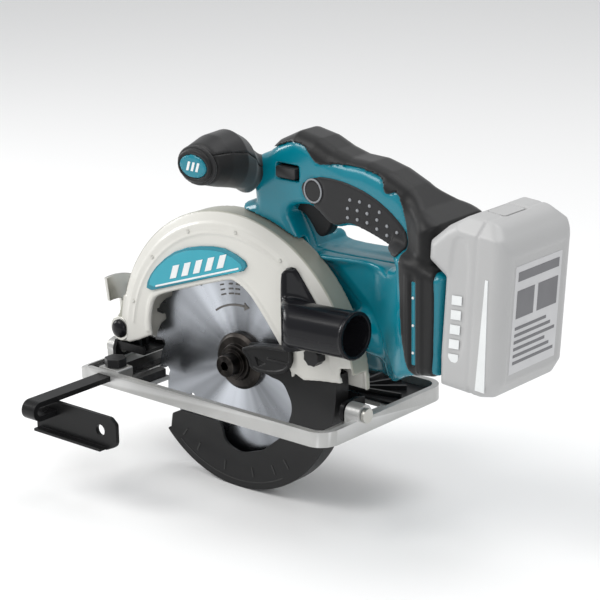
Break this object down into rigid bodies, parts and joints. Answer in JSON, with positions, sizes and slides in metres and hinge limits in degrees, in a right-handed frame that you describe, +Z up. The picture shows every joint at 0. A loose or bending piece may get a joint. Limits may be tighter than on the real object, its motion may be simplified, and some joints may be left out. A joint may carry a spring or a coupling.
{
  "type": "cordless circular saw",
  "caption": "Cordless circular saw with a tilting, depth-adjustable head, swinging lower guard, side grip, dust outlet, rip fence and slide-on battery.",
  "frame": {"origin": "on the sole of the base, straight under the spindle axis, on the base's middle line", "axes": "-X is the cutting direction, +X points to the battery, -Y is the blade side, +Y the motor side, +Z is up"},
  "size_m": [0.3624, 0.21, 0.2566],
  "materials": {
    "base_alloy": "satin pressed and cast plate",
    "guard_paint": "warm off-white paint over cast alloy",
    "gear_alloy": "bead-blasted casting",
    "black_steel": "black oxide and black paint",
    "zinc_steel": "zinc plated",
    "blade_steel": "ground in circles",
    "carbide": "ground carbide",
    "flange_steel": "dark phosphated steel",
    "bearing_steel": "polished",
    "motor_steel": "laminated and drawn steel",
    "copper": "copper bars",
    "magnet_black": "sintered",
    "guard_plastic": "dark grey, lightly grained",
    "shell_plastic": "teal, fine spark texture",
    "soft_black": "soft overmould with fine dots",
    "black_plastic": "fine texture",
    "gloss_black": "polished moulding",
    "board_green": "lacquered board",
    "lens_clear": "clear lens",
    "battery_plastic": "pale grey, fine texture",
    "cell_metal": "sleeved cells"
  },
  "bodies": {
    "base": {"base_plate": "base_alloy", "base_insert": "black_plastic", "base_strip": "black_plastic", "sight_plate": "black_plastic", "bevel_pins": "zinc_steel"},
    "tilt": {"tilt_bracket": "black_steel", "bevel_quadrant": "zinc_steel", "depth_guide": "black_steel", "depth_pivot": "black_steel"},
    "head": {"upper_guard": "guard_paint", "guard_badge": "shell_plastic", "guard_spring": "zinc_steel", "gear_case": "gear_alloy", "spindle_bearings": "bearing_steel", "armature_bearings": "bearing_steel", "motor_can": "motor_steel", "motor_magnets": "magnet_black", "brush_plate": "black_plastic", "carbon_brushes": "magnet_black", "left_housing": "shell_plastic", "right_housing": "shell_plastic", "motor_housing": "shell_plastic", "handle_cover": "soft_black", "side_pad_left": "soft_black", "side_pad_right": "soft_black", "mount_bumper": "soft_black", "grip_front": "soft_black", "grip_rear": "soft_black", "grip_cap": "soft_black", "grip_badge": "shell_plastic", "dust_nozzle": "gloss_black", "nozzle_screw": "black_plastic", "switch_body": "black_plastic", "terminal_block": "black_plastic", "controller_board": "board_green", "lamp_lens": "lens_clear", "housing_screws": "zinc_steel"},
    "blade": {"saw_blade": "blade_steel", "blade_tips": "carbide", "outer_flange": "flange_steel", "inner_flange": "flange_steel", "blade_bolt": "flange_steel", "spindle": "bearing_steel", "spindle_gear": "motor_steel"},
    "armature": {"armature_shaft": "bearing_steel", "armature_core": "motor_steel", "commutator": "copper", "motor_fan": "black_plastic"},
    "lower_guard": {"lower_guard": "guard_plastic", "guard_lever": "guard_plastic"},
    "trigger": {"trigger": "black_plastic"},
    "lock_button": {"lock_button": "black_plastic"},
    "shaft_lock": {"shaft_lock": "black_plastic"},
    "depth_clamp": {"depth_clamp": "black_steel"},
    "bevel_clamp": {"bevel_clamp": "black_steel"},
    "battery": {"battery_case": "battery_plastic", "battery_cells": "cell_metal"},
    "battery_button": {"battery_button": "battery_plastic"},
    "fence": {"fence_bar": "black_steel", "rip_fence": "black_steel"},
    "fence_screw": {"fence_screw": "black_plastic"}
  },
  "joints": [
    {"name": "bevel", "type": "hinge", "parent": "base", "child": "tilt", "pos_m": [0, -0.024, 0.0125], "axis": [1, 0, 0], "range_deg": [0, 50]},
    {"name": "depth", "type": "hinge", "parent": "tilt", "child": "head", "pos_m": [-0.106, -0.018, 0.0295], "axis": [0, -1, 0], "range_deg": [0, 28]},
    {"name": "blade_spin", "type": "hinge", "parent": "head", "child": "blade", "pos_m": [0, -0.018, 0.0255], "axis": [0, 1, 0], "continuous": true},
    {"name": "armature_spin", "type": "hinge", "parent": "head", "child": "armature", "pos_m": [0.01265, -0.018, 0.04356], "axis": [0, 1, 0], "continuous": true},
    {"name": "lower_guard_swing", "type": "hinge", "parent": "head", "child": "lower_guard", "pos_m": [0, -0.018, 0.0255], "axis": [0, -1, 0], "range_deg": [0, 105], "stiffness_Nm_per_rad": 0.2, "springref_deg": -57.3},
    {"name": "trigger_pull", "type": "hinge", "parent": "head", "child": "trigger", "pos_m": [0.0432, -0.003, 0.1392], "axis": [0, -1, 0], "range_deg": [0, 7], "stiffness_Nm_per_rad": 2, "springref_deg": -6.88},
    {"name": "lock_button_press", "type": "slide", "parent": "head", "child": "lock_button", "axis": [0, 1, 0], "range_m": [-0.002, 0.002], "stiffness_N_per_m": 400},
    {"name": "shaft_lock_press", "type": "slide", "parent": "head", "child": "shaft_lock", "axis": [0, -1, 0], "range_m": [0, 0.003], "stiffness_N_per_m": 500, "springref_m": -0.002},
    {"name": "depth_clamp_turn", "type": "hinge", "parent": "head", "child": "depth_clamp", "pos_m": [0.04379, -0.018, 0.02165], "axis": [0, -1, 0], "range_deg": [0, 25]},
    {"name": "bevel_clamp_turn", "type": "hinge", "parent": "base", "child": "bevel_clamp", "pos_m": [0, 0.0006, 0.04898], "axis": [1, 0, 0], "range_deg": [0, 60]},
    {"name": "battery_slide", "type": "slide", "parent": "head", "child": "battery", "axis": [0.0698, 0, 0.9976], "range_m": [0, 0.09]},
    {"name": "battery_button_press", "type": "slide", "parent": "battery", "child": "battery_button", "axis": [-0.0698, 0, -0.9976], "range_m": [0, 0.002], "stiffness_N_per_m": 500, "springref_m": -0.002},
    {"name": "fence_slide", "type": "slide", "parent": "base", "child": "fence", "axis": [0, 1, 0], "range_m": [-0.05, 0.044]},
    {"name": "fence_screw_turn", "type": "hinge", "parent": "base", "child": "fence_screw", "pos_m": [-0.0885, -0.053, 0.015], "axis": [0, 0, 1], "continuous": true}
  ],
  "couplings": [
    {"joint": "armature_spin", "follows": "blade_spin", "ratio": -5.125}
  ]
}
